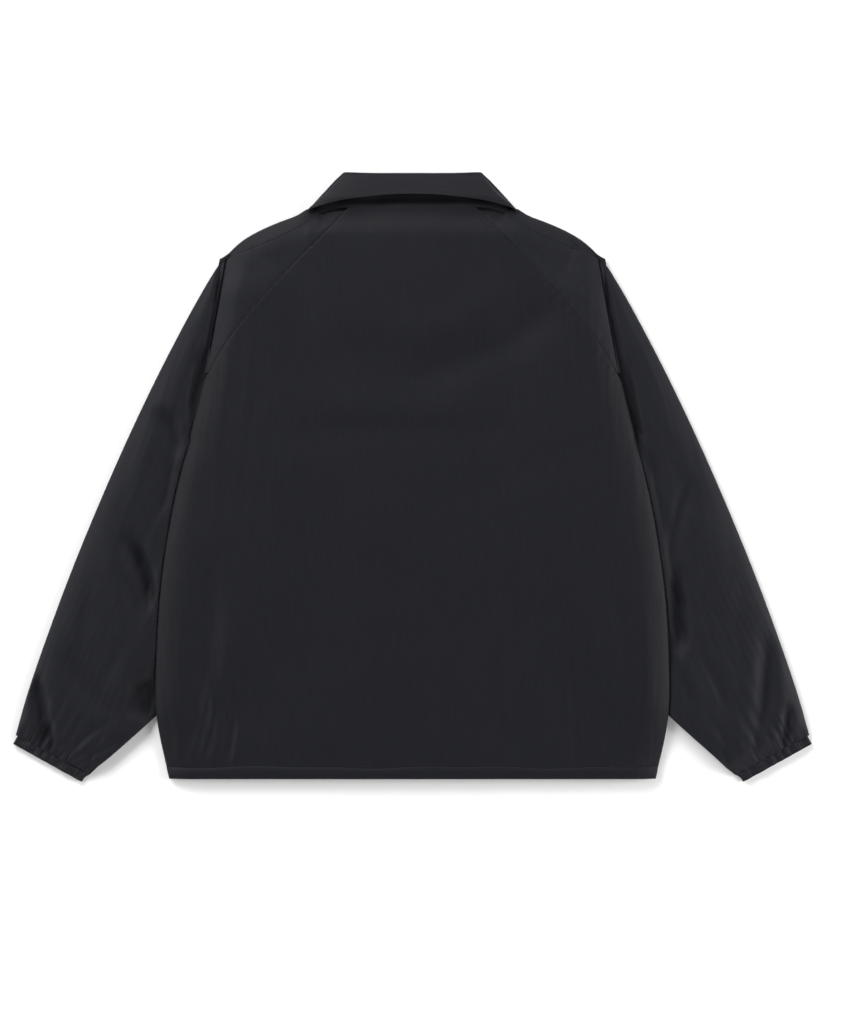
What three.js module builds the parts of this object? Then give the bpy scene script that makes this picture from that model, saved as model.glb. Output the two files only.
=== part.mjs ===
// A coach jacket laid out flat on its front, with its back up and its raglan sleeves tucked under its sides.
// Millimetres, +Z up. X runs across the jacket, +Y towards the collar, and the jacket rests on z = 0.
// Every cloth piece is one wall of even thickness, worked out from the middle of that wall.
import * as THREE from "three";

// Cloth
const WALL = 2; // shell, light filling and lining as one wall
const SEAM_GAP = 0.3; // between pieces that are sewn together
const STEP = 3; // from the middle of one layer to the middle of the layer on it
const BEND = STEP / 2; // radius of the middle of the wall where cloth doubles back
const FLOOR = WALL / 2; // middle of the layer that lies on the ground
const PUFF = 2.9; // the most that folds and air lift a layer off the one under it

// Sleeve, cuff and hem
const SHOULDER_Y = 264; // where the pleat over the sleeve starts, on the shoulder
const RAGLAN_FOOT_Y = 114; // where the back raglan seam reaches the side of the body
const FOLD_OPENS = 50; // the pleat is a whole double fold this far below its start
const PLEAT_DEPTH = 36; // how far the pleat reaches under the body at the raglan's foot
const BACK_CLIMB = 100; // the back starts to climb over the sleeve this far inside the sleeve's edge
const FRONT_CLIMB = 55;
const CLIMB_ENDS = 7; // and is up this far before that edge
const SLEEVE_LEAVES_Y = -335; // below here the sleeve is no longer under the body's side
const LEAVING = 45; // the body comes down over this run
const PLEAT_WAY = new THREE.Vector2(0.928, -0.371); // the pleat opens this way, seen from above
const HEM_SEAM_Y = -346.8;
const HEM_Y = -361.2;
const NECK_Y = 322.5; // the middle of the back's top edge
const CUFF_GATHERS = 26; // ruffles round an elastic cuff
const CUFF_RUFFLE = 0.9;
const CUFF_BAND = 11.4;
const CUFF_ROUND = 0.08; // of the cuff's width, at each end
const SLEEVE_GATHERS = 8; // gathers across the sleeve's back above the cuff
const GATHER_HEIGHT = 1.3;
const GATHERS_START = 0.8; // of the sleeve's length under the armhole
const SLEEVE_AIR = 0.62; // of PUFF, before the folds are added
const TUBE_STARTS = 0.16; // along the sleeve's outer edge, level with the raglan's foot
const LIP_ROWS = 2.4; // the sleeve's inner edge is round after this many rows of the tube
const LIP_SPREAD = 1.5; // between the points of a fold that hasn't turned yet
const LAST_TURN = 0.8; // of a bend, which the sleeve's lower layer makes up to its inner edge

// Front opening and snaps
const PLACKET = 15; // each front passes the middle by this much
const SNAP_RADIUS = 7.5;
const SNAP_THICK = 1.2;
const SNAP_COUNT = 6;
const TOP_SNAP_Y = 218;
const BOTTOM_SNAP_Y = -332;

// Collar
const COLLAR_MIDDLE = FLOOR + 1.5 * STEP; // half way up the collar's four layers
const COLLAR_LIFT = STEP; // the fronts lie this much higher where the collar is under them
const LEAF_REACH = { low: 88, high: 128 }; // how far out the collar's leaf lies under the fronts
const LEAF_LOW_Y = 190;
const LEAF_HIGH_Y = 320;
const LEAF_TIP_Y = 145;
const LEAF_RAMP = 38; // the cloth comes down from the leaf over this run
const COLLAR_OUT = new THREE.Vector2(0.785, 0.62); // out of the collar's slanting side

// How finely the walls are divided
const SIDE_ROWS = 14;
const MIDDLE_COLUMNS = 6; // from the middle of the back to where it climbs over a sleeve
const CLIMB_COLUMNS = 6;
const OVER_COLUMNS = 3;
const TURN_STEPS = 2;
const FOLD_STEPS = 2;
const YOKE_COLUMNS = 3;
const ARM_COLUMNS = SLEEVE_GATHERS * 2;
const UNDER_COLUMNS = 5;
const SHOULDER_ROWS = 4; // beside the back, from the neck to the pleat
const PLEAT_ROWS = 7; // beside the back, down to the raglan's foot
const ARM_ROWS = 13;

// Outlines of one half, from above
const BODY_SIDE = [
  { y: HEM_Y, x: 290.5 },
  { y: -318, x: 300.5 },
  { y: -284, x: 306.5 },
  { y: -196, x: 305.5 },
  { y: -118, x: 299.4 },
  { y: -29, x: 285 },
  { y: 52, x: 264.6 },
  { y: RAGLAN_FOOT_Y, x: 250 },
  { y: 198, x: 234.6 },
  { y: SHOULDER_Y, x: 224 },
];
const BACK_RAGLAN = [
  { x: 80, y: 319 },
  { x: 117, y: 280 },
  { x: 145, y: 253 },
  { x: 192, y: 200 },
  { x: 225, y: 157 },
  { x: 250, y: RAGLAN_FOOT_Y },
];
const SHOULDER = [
  { x: 123, y: 317 },
  { x: 163, y: 303.5 },
  { x: 190, y: 291 },
  { x: 206, y: 282 },
  { x: 216, y: 273 },
  { x: 224, y: SHOULDER_Y },
];
const ARM_TOP = [
  { x: 224, y: SHOULDER_Y },
  { x: 248, y: 227 },
  { x: 289, y: 152 },
  { x: 333, y: 62 },
  { x: 373, y: -28 },
  { x: 410, y: -118 },
  { x: 443, y: -208 },
  { x: 463, y: -268 },
  { x: 474, y: -309.5 },
];
const UNDERARM = [
  { x: 212.7, y: 128 },
  { x: 192, y: 60 },
  { x: 182, y: -20 },
  { x: 190, y: -90 },
  { x: 212, y: -160 },
  { x: 252, y: -228 },
  { x: 309, y: -287 },
  { x: 387, y: -356 },
];
const FRONT_RAGLAN = [
  { x: 104, y: 283 },
  { x: 146, y: 222 },
  { x: 184, y: 168 },
  { x: 212.7, y: 128 },
];
const FRONT_NECK = [
  { x: 0, y: 242 },
  { x: 42, y: 247 },
  { x: 78, y: 261 },
  { x: 104, y: 283 },
];
const CUFF_EDGE = { inner: { x: 398.5, y: -364.6 }, outer: { x: 477, y: -321 } };

// One half of the collar, from the middle of the front to the middle of the back.
// turn is 1 where the collar's outside faces up, 0 at the side of the neck and -1 where it faces the ground.
const COLLAR = [
  { neckX: 3, neckY: 243.6, foldX: 4, foldY: 276, edgeX: 74, edgeY: 188, turn: -1 },
  { neckX: 30, neckY: 246.6, foldX: 17, foldY: 285, edgeX: 84, edgeY: 214, turn: -1 },
  { neckX: 61, neckY: 256, foldX: 37, foldY: 302, edgeX: 94, edgeY: 243, turn: -1 },
  { neckX: 88, neckY: 272, foldX: 57, foldY: 326, edgeX: 104, edgeY: 272, turn: -1 },
  { neckX: 104.5, neckY: 291, foldX: 70, foldY: 345, edgeX: 112, edgeY: 296, turn: -0.9 },
  { neckX: 113.2, neckY: 317.6, foldX: 79.5, foldY: 358.5, edgeX: 115.5, edgeY: 319, turn: -0.45 },
  { neckX: 113.4, neckY: 320, foldX: 81, foldY: 360.5, edgeX: 116.5, edgeY: 321, turn: 0 },
  { neckX: 110, neckY: 321, foldX: 78.5, foldY: 361.5, edgeX: 112.5, edgeY: 324.5, turn: 0.5 },
  { neckX: 95, neckY: 322, foldX: 69, foldY: 361.5, edgeX: 98, edgeY: 330, turn: 0.9 },
  { neckX: 66, neckY: 323, foldX: 48, foldY: 361.5, edgeX: 68, edgeY: 336.5, turn: 1 },
  { neckX: 33, neckY: 323.4, foldX: 24, foldY: 361.5, edgeX: 34, edgeY: 340, turn: 1 },
  { neckX: 0, neckY: 323.5, foldX: 0, foldY: 361.5, edgeX: 0, edgeY: 341, turn: 1 },
];

// Folds of the back, ridges above 0 and troughs below, each along a straight run seen from above.
const BACK_FOLDS = [
  { x1: 160, y1: 190, x2: -10, y2: 108, wide: 24, high: -1.5 },
  { x1: 130, y1: 230, x2: 0, y2: 165, wide: 26, high: 1.1 },
  { x1: -135, y1: 58, x2: 110, y2: 58, wide: 17, high: -1.3 },
  { x1: -120, y1: 88, x2: 60, y2: 82, wide: 16, high: 0.8 },
  { x1: 150, y1: 10, x2: 30, y2: -30, wide: 18, high: -1 },
  { x1: -160, y1: -10, x2: -40, y2: -60, wide: 26, high: 0.8 },
  { x1: 70, y1: -110, x2: 160, y2: -140, wide: 24, high: 0.8 },
  { x1: -232, y1: -120, x2: -250, y2: -235, wide: 16, high: -1.5 },
  { x1: -205, y1: -190, x2: -262, y2: -330, wide: 9, high: 1.6 },
  { x1: -190, y1: -240, x2: -212, y2: -335, wide: 9, high: 1.2 },
  { x1: -225, y1: -250, x2: -240, y2: -330, wide: 7, high: -1.1 },
  { x1: -160, y1: -215, x2: -178, y2: -330, wide: 9, high: -0.9 },
  { x1: 130, y1: -200, x2: 150, y2: -325, wide: 10, high: 1 },
  { x1: 180, y1: -160, x2: 205, y2: -320, wide: 10, high: -1 },
  { x1: 232, y1: -190, x2: 246, y2: -320, wide: 10, high: 1 },
];

// Folds of each sleeve's back, measured outwards from the middle of the jacket.
const LEFT_ARM_FOLDS = [
  { x1: 262, y1: 170, x2: 272, y2: 60, wide: 13, high: -2.4 },
  { x1: 300, y1: 100, x2: 318, y2: 20, wide: 15, high: 1.8 },
  { x1: 292, y1: 52, x2: 312, y2: 8, wide: 9, high: -2.2 },
  { x1: 338, y1: -40, x2: 312, y2: -150, wide: 13, high: -2.6 },
  { x1: 372, y1: -90, x2: 350, y2: -190, wide: 18, high: 1.5 },
  { x1: 330, y1: -190, x2: 350, y2: -240, wide: 14, high: 1.4 },
  { x1: 322, y1: -245, x2: 316, y2: -285, wide: 11, high: -2.4 },
  { x1: 405, y1: -190, x2: 385, y2: -255, wide: 18, high: -1.4 },
  { x1: 444, y1: -245, x2: 449, y2: -300, wide: 7, high: -2.4 },
];
const RIGHT_ARM_FOLDS = [
  { x1: 262, y1: 150, x2: 270, y2: 40, wide: 12, high: -2.6 },
  { x1: 288, y1: 130, x2: 310, y2: 40, wide: 15, high: 1.4 },
  { x1: 322, y1: 10, x2: 316, y2: -130, wide: 13, high: -2.4 },
  { x1: 352, y1: -30, x2: 372, y2: -130, wide: 18, high: 1.6 },
  { x1: 326, y1: -175, x2: 336, y2: -215, wide: 12, high: -2.2 },
  { x1: 345, y1: -215, x2: 372, y2: -270, wide: 12, high: -1.2 },
  { x1: 398, y1: -190, x2: 400, y2: -280, wide: 15, high: 1.5 },
  { x1: 424, y1: -195, x2: 416, y2: -300, wide: 9, high: -2.4 },
  { x1: 372, y1: -250, x2: 386, y2: -310, wide: 10, high: 1 },
];

const lerp = THREE.MathUtils.lerp;
const clamp = THREE.MathUtils.clamp;
const soft = (t) => THREE.MathUtils.smoothstep(t, 0, 1);
const range = (count) => Array.from({ length: count }, (_, i) => i);
const point = (p) => new THREE.Vector2(p.x, p.y);

// A smooth plan curve through a table's rows, with getPointAt(0 to 1) along its length.
const plan = (table) => new THREE.SplineCurve(table.map(point));

// A smooth x for each y, through a table's rows in order of y.
function across(table) {
  const rows = [...table].sort((a, b) => a.y - b.y);
  const slope = (i, j) => (rows[j].x - rows[i].x) / (rows[j].y - rows[i].y);
  const last = rows.length - 1;
  const slopes = rows.map((_, i) => slope(Math.max(i - 1, 0), Math.min(i + 1, last)));
  return (y) => {
    const i = clamp(rows.findIndex((r) => r.y > y) - 1, 0, last - 1);
    const k = y >= rows[last].y ? last - 1 : i;
    const span = rows[k + 1].y - rows[k].y;
    const t = clamp((y - rows[k].y) / span, 0, 1);
    const curve = (2 * t - 3) * t * t;
    return (
      rows[k].x * (1 + curve) - rows[k + 1].x * curve +
      span * t * (1 - t) * (slopes[k] * (1 - t) - slopes[k + 1] * t)
    );
  };
}

const bodySide = across(BODY_SIDE);
const underarmX = across([...UNDERARM, { x: 224, y: SHOULDER_Y }]);
const backRaglan = plan(BACK_RAGLAN);
const shoulder = plan(SHOULDER);
const armTop = plan(ARM_TOP);
const underarm = plan(UNDERARM);
const frontRaglan = plan(FRONT_RAGLAN);
const frontNeck = plan(FRONT_NECK);

// The height of a set of folds at a place: each one a soft ridge or trough round its run.
function foldsAt(folds, x, y) {
  return folds.reduce((sum, f) => {
    const run = new THREE.Line3(new THREE.Vector3(f.x1, f.y1, 0), new THREE.Vector3(f.x2, f.y2, 0));
    const here = new THREE.Vector3(x, y, 0);
    const off = run.closestPointToPoint(here, true, new THREE.Vector3()).distanceTo(here) / f.wide;
    return sum + f.high * Math.exp(-off * off);
  }, 0);
}

// The double fold over the sleeve, at a distance below its start: how far the cloth turns each way, and
// the straight between the two turns.
function pleatAt(below) {
  const run = SHOULDER_Y - RAGLAN_FOOT_Y;
  const angle = Math.PI * soft(below / FOLD_OPENS);
  const deep = clamp((below - FOLD_OPENS / 2) / (run - FOLD_OPENS / 2), 0, 1);
  return { angle, straight: 1 + (PLEAT_DEPTH - 1) * deep };
}

// How far the cloth steps down through that double fold.
function pleatDrop(below) {
  const { angle, straight } = pleatAt(below);
  return 2 * BEND * (1 - Math.cos(angle)) + straight * Math.sin(angle);
}

// How much the sleeve under the body's side lifts what lies on it.
function sleeveLift(x, y, climb = BACK_CLIMB) {
  const full = y > RAGLAN_FOOT_Y ? pleatDrop(SHOULDER_Y - y) : 2 * STEP;
  const low = soft((y - SLEEVE_LEAVES_Y) / LEAVING);
  return full * low * soft((Math.abs(x) - underarmX(y) + climb) / (climb - CLIMB_ENDS));
}

// How much the collar's leaf lifts the fronts that lie on it.
function collarLift(x, y) {
  const up = clamp((y - LEAF_LOW_Y) / (LEAF_HIGH_Y - LEAF_LOW_Y), 0, 1);
  const end = lerp(LEAF_REACH.low, LEAF_REACH.high, up) + LEAF_RAMP + 4;
  return COLLAR_LIFT * soft((y - LEAF_TIP_Y) / LEAF_RAMP) * soft((end - Math.abs(x)) / LEAF_RAMP);
}

// How much the overlapping fronts and their snaps lift the back.
const SNAP_SPACE = SNAP_THICK + SEAM_GAP;
const PLACKET_RAMP = { end: PLACKET + 60, run: 50 }; // where the back lies down beside the placket
const NECK_RAMP = 60; // the back comes down to the neck over this run
function placketLift(x, y) {
  const wide = soft((PLACKET_RAMP.end - Math.abs(x)) / PLACKET_RAMP.run);
  return (SNAP_SPACE + WALL + SEAM_GAP) * wide * soft((LEAF_HIGH_Y - y) / NECK_RAMP);
}

const LEAST_AIR = 0.5;
const SIDE_ROUND = 26; // the back rounds down to its side over this run
const NECK_ROUND = 40;
const backAir = (x, y) => clamp(PUFF / 2 + foldsAt(BACK_FOLDS, x, y), LEAST_AIR, PUFF);

// The middle of the back and of the sleeves' upper part, which lie level with it.
function backLevel(x, y) {
  const edge = soft((bodySide(y) - Math.abs(x)) / SIDE_ROUND);
  const neck = soft((NECK_Y - 0.5 - y) / NECK_ROUND);
  const lift = sleeveLift(x, y) + collarLift(x, y) + placketLift(x, y);
  return FLOOR + STEP + lift + backAir(x, y) * edge * neck;
}

// The middle of a front. hand is -1 for the left front, which fastens over the right one.
const UNDER_RAMP = 21; // the front with the snaps comes down to the ground over this run
const UPPER_RAMP = 54;
const ARMHOLE = { top: 158, run: 28 }; // a front climbs on the sleeve below here
function frontLevel(x, y, hand) {
  const over = hand < 0 ? SNAP_SPACE : SNAP_SPACE + WALL + 2 * SEAM_GAP;
  const wide = hand < 0 ? UNDER_RAMP : UPPER_RAMP;
  const onSleeve = sleeveLift(x, y, FRONT_CLIMB) * soft((ARMHOLE.top - y) / ARMHOLE.run);
  return FLOOR + onSleeve + collarLift(x, y) + over * soft((PLACKET + wide - hand * x) / wide);
}

// The middle of a sleeve's upper layer, with its air, folds and the gathers that grow towards the cuff.
const ARM_ROUND = 22; // the sleeve rises beside the body over this run
const COLUMN_ROUND = { inner: 0.12, outer: 0.2 }; // parts of the sleeve's width
function armLevel(x, y, hand, towardsCuff, column) {
  const folds = hand < 0 ? LEFT_ARM_FOLDS : RIGHT_ARM_FOLDS;
  const clear = soft((Math.abs(x) - bodySide(y)) / ARM_ROUND);
  const edge = soft(column / COLUMN_ROUND.inner) * soft((1 - column) / COLUMN_ROUND.outer);
  const gathered = (towardsCuff - GATHERS_START) / (1 - GATHERS_START);
  const air = clamp(PUFF * SLEEVE_AIR + foldsAt(folds, Math.abs(x), y), 0, PUFF);
  const ruffle = GATHER_HEIGHT * soft(gathered);
  const wave = Math.cos(column * ARM_COLUMNS * Math.PI) * edge;
  return FLOOR + STEP + air * clear * edge * (1 - soft(2 * gathered - 1)) + ruffle * (1 + wave);
}

// A wall of even thickness round a grid of points, closed at its rim. Rows may lack their first points.
// A ring is joined up across its columns.
function wallSolid(grid, ring = false) {
  const columns = grid[0].length;
  const total = grid.length * columns;
  const points = grid.flat();
  const normals = points.map(() => new THREE.Vector3());
  const cells = [];
  for (const r of range(grid.length - 1)) {
    for (const c of range(ring ? columns : columns - 1)) {
      const next = (c + 1) % columns;
      const cell = [r * columns + c, r * columns + next, (r + 1) * columns + next, (r + 1) * columns + c];
      if (!cell.every((i) => points[i])) continue;
      const [p, q, s, t] = cell.map((i) => points[i]);
      if (p.distanceTo(s) > q.distanceTo(t)) cell.push(cell.shift());
      cells.push(cell);
    }
  }
  for (const cell of cells) {
    const [p, q, s, t] = cell.map((i) => points[i]);
    const normal = s.clone().sub(p).cross(t.clone().sub(q)).normalize();
    cell.forEach((i) => normals[i].add(normal));
  }
  const faces = [];
  const quad = (a, b, c, d) => faces.push(a, b, c, a, c, d);
  const sides = new Set(cells.flatMap((cell) => cell.map((a, i) => a + " " + cell[(i + 1) % 4])));
  for (const cell of cells) {
    const [a, b, c, d] = cell;
    quad(a, b, c, d);
    quad(a + total, d + total, c + total, b + total);
    cell.forEach((from, i) => {
      const to = cell[(i + 1) % 4];
      if (!sides.has(to + " " + from)) quad(from, from + total, to + total, to);
    });
  }
  const layer = (sign) =>
    points.map((p, i) => {
      const out = normals[i].normalize();
      return (p ?? new THREE.Vector3()).clone().addScaledVector(out, (sign * WALL) / 2);
    });
  const soup = new THREE.BufferGeometry().setFromPoints([...layer(1), ...layer(-1)]);
  soup.setIndex(faces);
  return soup.toNonIndexed();
}

const jacket = new THREE.Group();
jacket.name = "coach_jacket";
const NYLON = { color: 0x24262b, roughness: 0.62, metalness: 0 };
const ELASTIC = { color: 0x202226, roughness: 0.7, metalness: 0 };
const SNAP_ENAMEL = { color: 0x1b1c1f, roughness: 0.35, metalness: 0.3 };

function addPiece(name, geometry, finish) {
  geometry.computeVertexNormals();
  const mesh = new THREE.Mesh(geometry, new THREE.MeshStandardMaterial(finish));
  mesh.name = name;
  jacket.add(mesh);
  return mesh;
}

// The wall's outer side faces up where a grid's columns run towards +X as its rows run towards +Y.
const handed = (grid, flip) => (flip ? grid.map((row) => [...row].reverse()) : grid);

// Places across one half of the body at one height: level, then up over a sleeve, then level to the side.
// The first stretches are as wide as the placket, with its snaps, needs.
const LEAST_CLIMB = 32;
const LEAST_OVER = 12;
const LEAST_LEVEL = 0.3; // of the half's width
function bodyPlaces(y, from, side, steps) {
  const top = Math.min(underarmX(y), side - LEAST_OVER);
  const foot = Math.max(
    Math.min(top - BACK_CLIMB, side - LEAST_OVER - LEAST_CLIMB),
    lerp(from, side, LEAST_LEVEL),
  );
  const near = Math.min(PLACKET * 2 + 3, (foot - from) / steps);
  return [
    from,
    from + near,
    ...range(steps - 2).map((i) => lerp(from + 2 * near, foot, i / (steps - 2))),
    ...range(CLIMB_COLUMNS).map((i) => lerp(foot, Math.max(top, foot), i / CLIMB_COLUMNS)),
    ...range(OVER_COLUMNS).map((i) => lerp(Math.max(top, foot), side, i / OVER_COLUMNS)),
  ];
}

// The turn at the side of the body, where the back and a front are sewn together: out and up or down.
const BEND_SHARE = 0.7; // of the drop, and the rest of it is upright
function sideTurn(edgeX, level, way) {
  const drop = BEND - SEAM_GAP;
  const bend = range(TURN_STEPS + 1).map((step) => {
    const angle = ((step / TURN_STEPS) * Math.PI) / 2;
    return { x: edgeX - BEND * (1 - Math.sin(angle)), z: level + way * BEND_SHARE * drop * (1 - Math.cos(angle)) };
  });
  return [...bend, { x: edgeX, z: level + way * drop }];
}

// The rows that the back shares with the sleeves, and those that it shares with the fronts.
const PLEAT_START = 0.36; // along the raglan seams, level with the pleat's start
const PLEAT_END = 0.93; // of the pleat's run, where the sleeve turns into a whole tube
const raglanSteps = [
  ...range(SHOULDER_ROWS).map((i) => (PLEAT_START * i) / SHOULDER_ROWS),
  ...range(PLEAT_ROWS + 1).map((i) => lerp(PLEAT_START, 1, (PLEAT_END * i) / PLEAT_ROWS)),
];
const sideRows = range(SIDE_ROWS + 1).map((i) => lerp(RAGLAN_FOOT_Y, HEM_SEAM_Y + SEAM_GAP, i / SIDE_ROWS));
const hemRows = [HEM_SEAM_Y, HEM_Y];

// Half of a row of the body, from the place `from` to the side. Level tells the height at a place.
function halfRow(y, from, side, steps, way, level) {
  const flat = side - (way ? BEND : (TURN_STEPS + 1) * 2);
  const main = bodyPlaces(y, from, flat, steps).map((x) => ({ x, z: level(x, y) }));
  const end = way
    ? sideTurn(side, level(flat, y), way)
    : range(TURN_STEPS + 2).map((i) => ({ x: flat + i * 2, z: level(flat + i * 2, y) }));
  return [...main, ...end].map((p) => new THREE.Vector3(p.x, y, p.z));
}

function backRow(y, side, way) {
  const right = halfRow(y, 0, side, MIDDLE_COLUMNS, way, backLevel);
  const left = halfRow(y, 0, side, MIDDLE_COLUMNS, way, (x) => backLevel(-x, y));
  const mirrored = left.slice(1).map((p) => new THREE.Vector3(-p.x, p.y, p.z));
  return [...mirrored.reverse(), ...right];
}

const NECK_INSET = 3; // of the back's top corners, so that its slanting edge clears the sleeve
function makeBack() {
  const raglan = raglanSteps.map((t) => {
    const p = backRaglan.getPointAt(t);
    return backRow(t ? p.y : NECK_Y, p.x - (t ? SEAM_GAP * Math.SQRT2 : NECK_INSET), 0);
  });
  const sides = sideRows.map((y, i) => backRow(y, bodySide(y), -Math.min(i / 2, 1)));
  return wallSolid([...raglan, ...sides].reverse());
}

function makeBackHem() {
  return wallSolid([...hemRows].reverse().map((y) => backRow(y, bodySide(y), -1)));
}

// A front's rows run from the placket, then from the neck, to the side, then to the sleeve.
function frontRow(from, to, hand, way) {
  const level = (x, y) => frontLevel(hand * x, y, hand);
  const row = halfRow(from.y, from.x, to.x, MIDDLE_COLUMNS - 2, way, level);
  return row.map((p) => {
    const y = lerp(from.y, to.y, clamp((p.x - from.x) / (to.x - from.x), 0, 1));
    return new THREE.Vector3(hand * p.x, y, way ? p.z : level(p.x, y));
  });
}

// The corner of a front under the arm is cut back, because the sleeve's inner edge starts to turn there.
const ARMPIT_CUT = { x: 7, y: 2.4, next: 3.6 };
const FLAP_ROWS = 2; // between the raglan's foot and the front raglan seam's
const CHEST_ROWS = 8; // beside the front raglan seam
const NECK_STARTS = 0.4; // of those rows, and the ones below it end at the placket
const CORNER_SHARE = { raglan: 0.97, neck: 0.95 }; // of the two curves that meet at the neck
function makeFront(hand) {
  const sideRow = (y, way) => frontRow({ x: -PLACKET, y }, { x: bodySide(y), y }, hand, way);
  const rows = sideRows.map((y, i) => sideRow(y, Math.min(i / 2, 1))).reverse();
  const [armpit] = FRONT_RAGLAN.slice(-1);
  const neckLow = FRONT_NECK[0].y - SEAM_GAP * 2;
  for (const i of range(FLAP_ROWS)) {
    const t = (i + 1) / FLAP_ROWS;
    const x = lerp(bodySide(RAGLAN_FOOT_Y), armpit.x, t) - ARMPIT_CUT.x;
    const y = lerp(RAGLAN_FOOT_Y, armpit.y, t) - ARMPIT_CUT.y;
    rows.push(frontRow({ x: -PLACKET, y }, { x, y }, hand, 0));
  }
  for (const i of range(CHEST_ROWS)) {
    const t = (i + 1) / CHEST_ROWS;
    const to = frontRaglan.getPointAt(1 - t * CORNER_SHARE.raglan);
    const roundNeck = clamp((t - NECK_STARTS) / (1 - NECK_STARTS), 0, CORNER_SHARE.neck);
    const neck = frontNeck.getPointAt(roundNeck);
    const onPlacket = { x: -PLACKET, y: lerp(armpit.y, neckLow, t / NECK_STARTS) };
    const onNeck = { x: neck.x - PLACKET * (1 - t), y: neck.y - SEAM_GAP * 2 };
    const cut = i === 0 ? ARMPIT_CUT.next : SEAM_GAP;
    rows.push(frontRow(t < NECK_STARTS ? onPlacket : onNeck, { x: to.x - cut, y: to.y }, hand, 0));
  }
  return wallSolid(handed(rows, hand < 0));
}

function makeFrontHem(hand) {
  const band = (y) => frontRow({ x: -PLACKET, y }, { x: bodySide(y), y }, hand, 1);
  const rows = [...hemRows].reverse().map(band);
  return wallSolid(handed(rows, hand < 0));
}

// One row of a sleeve. back and front are its sewn edges, lip is where it folds under at the body's side,
// outer is the sleeve's outer edge, and below is the distance below the pleat's start, or null with no pleat.
function sleeveRow({ back, lip, outer, front, below, tuck, towardsCuff }, hand) {
  const row = [];
  const add = (plan, z) => row.push(plan ? new THREE.Vector3(plan.x, plan.y, z) : null);
  const level = (p) => backLevel(hand * p.x, p.y);
  const armBase = (p) => FLOOR + STEP + collarLift(p.x, p.y);
  let start = back;
  let base = 0;
  if (below === null) {
    range(YOKE_COLUMNS + 2 * FOLD_STEPS).forEach(() => add(null));
    add(lip, FLOOR + STEP - BEND * tuck);
    start = lip.clone().addScaledVector(PLEAT_WAY, BEND);
  } else {
    range(YOKE_COLUMNS).forEach((i) => {
      const p = back.clone().lerp(lip, i / YOKE_COLUMNS);
      add(p, level(p));
    });
    const { angle, straight } = pleatAt(below);
    const top = level(lip);
    const spread = LIP_SPREAD * (1 - angle / Math.PI);
    let spreads = 0;
    const along = (out) => lip.clone().addScaledVector(PLEAT_WAY, out + spread * spreads++);
    const at = (out, down) => add(along(out), top - down);
    range(FOLD_STEPS + 1).forEach((i) => {
      const a = (angle * i) / FOLD_STEPS;
      at(BEND * Math.sin(a), BEND * (1 - Math.cos(a)));
    });
    const out = BEND * Math.sin(angle) + straight * Math.cos(angle);
    const down = BEND * (1 - Math.cos(angle)) + straight * Math.sin(angle);
    range(FOLD_STEPS).forEach((i) => {
      const a = angle * (1 - i / FOLD_STEPS);
      at(out + BEND * (Math.sin(angle) - Math.sin(a)), down + BEND * (Math.cos(a) - Math.cos(angle)));
    });
    start = along(out + BEND * Math.sin(angle));
    base = top - pleatDrop(below) - armBase(start);
  }
  // The sleeve's upper layer, its round outer edge and the layer that lies on the ground.
  const outwards = outer.clone().sub(start).normalize();
  const rim = outer.clone().addScaledVector(outwards, -WALL / 2);
  range(ARM_COLUMNS + 1).forEach((i) => {
    const p = start.clone().lerp(rim, i / ARM_COLUMNS);
    const away = i / ARM_COLUMNS;
    const z = armLevel(hand * p.x, p.y, hand, towardsCuff, away) + collarLift(p.x, p.y);
    add(p, z + base * (1 - away));
  });
  const middle = (row.at(-1).z + FLOOR + collarLift(rim.x, rim.y)) / 2;
  const radius = row.at(-1).z - middle;
  range(2).forEach((i) => {
    const a = ((i + 1) * Math.PI) / 3;
    const p = rim.clone().addScaledVector(outwards, radius * Math.sin(a));
    add(p, middle + radius * Math.cos(a));
  });
  range(UNDER_COLUMNS + 1).forEach((i) => {
    const p = rim.clone().lerp(front, i / UNDER_COLUMNS);
    add(p, FLOOR + collarLift(p.x, p.y) + (i === UNDER_COLUMNS ? BEND * tuck * LAST_TURN : 0));
  });
  return row.map((p) => p && new THREE.Vector3(hand * p.x, p.y, p.z));
}

const LIP_PLACE = { neck: 0.4, pleat: 0.75 }; // across the yoke, where the pleat is still flat
const ROUND_TOP = 0.004; // along the sleeve's outer edge, past the end of the shoulder
function sleeveRows() {
  const rows = [];
  range(SHOULDER_ROWS).forEach((i) => {
    const t = i / SHOULDER_ROWS;
    const back = backRaglan.getPointAt(PLEAT_START * t);
    const outer = shoulder.getPointAt(t);
    const front = frontRaglan.getPointAt(PLEAT_START * t);
    const lip = back.clone().lerp(outer, lerp(LIP_PLACE.neck, LIP_PLACE.pleat, t));
    rows.push({ back, lip, outer, front, below: 0, tuck: 0, towardsCuff: 0 });
  });
  range(PLEAT_ROWS + 1).forEach((i) => {
    const t = (i / PLEAT_ROWS) * PLEAT_END;
    const y = lerp(SHOULDER_Y, RAGLAN_FOOT_Y, t);
    const back = backRaglan.getPointAt(lerp(PLEAT_START, 1, t));
    const lip = new THREE.Vector2(bodySide(y) - BEND, y);
    const outer = armTop.getPointAt(lerp(ROUND_TOP, TUBE_STARTS, t));
    const front = frontRaglan.getPointAt(lerp(PLEAT_START, 1, t));
    rows.push({ back, lip, outer, front, below: SHOULDER_Y - y, tuck: 0, towardsCuff: 0 });
  });
  range(ARM_ROWS).forEach((i) => {
    const t = (i + 1) / ARM_ROWS;
    const lip = underarm.getPointAt(t);
    const outer = armTop.getPointAt(lerp(TUBE_STARTS, 1, t));
    const tuck = Math.min((i + 2) / LIP_ROWS, 1);
    rows.push({ back: lip, lip, outer, front: lip, below: null, tuck, towardsCuff: t });
  });
  return rows;
}

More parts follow.
